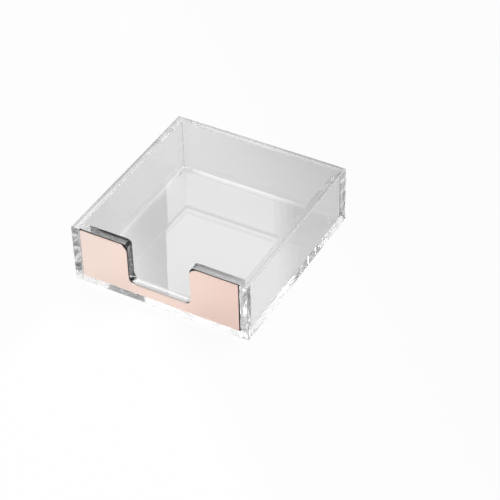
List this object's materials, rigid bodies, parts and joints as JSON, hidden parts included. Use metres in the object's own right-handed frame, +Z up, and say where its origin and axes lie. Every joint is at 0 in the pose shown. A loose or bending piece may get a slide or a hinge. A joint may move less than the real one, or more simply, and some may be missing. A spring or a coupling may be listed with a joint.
{
  "type": "memo pad holder",
  "caption": "Open desk tray of clear acrylic sheets that holds a square memo pad, with a rose-gold metal front plate cut down into a thumb notch.",
  "frame": {"origin": "middle of the footprint, on the surface that the feet stand on", "axes": "+X to the right as seen from the notched front, +Y from the front to the back, +Z up"},
  "size_m": [0.095, 0.1, 0.0335],
  "materials": {
    "clear_acrylic": "clear cast acrylic, polished faces and edges",
    "rose_gold_plate": "rose-gold plated steel, soft satin",
    "black_tape": "black double-sided tape",
    "clear_bumper": "clear soft polyurethane"
  },
  "bodies": {
    "root": {"base_plate": "clear_acrylic", "left_wall": "clear_acrylic", "right_wall": "clear_acrylic", "back_wall": "clear_acrylic", "front_wall": "clear_acrylic", "face_plate": "rose_gold_plate", "plate_adhesive": "black_tape", "foot_front_left": "clear_bumper", "foot_front_right": "clear_bumper", "foot_back_left": "clear_bumper", "foot_back_right": "clear_bumper"}
  },
  "joints": []
}
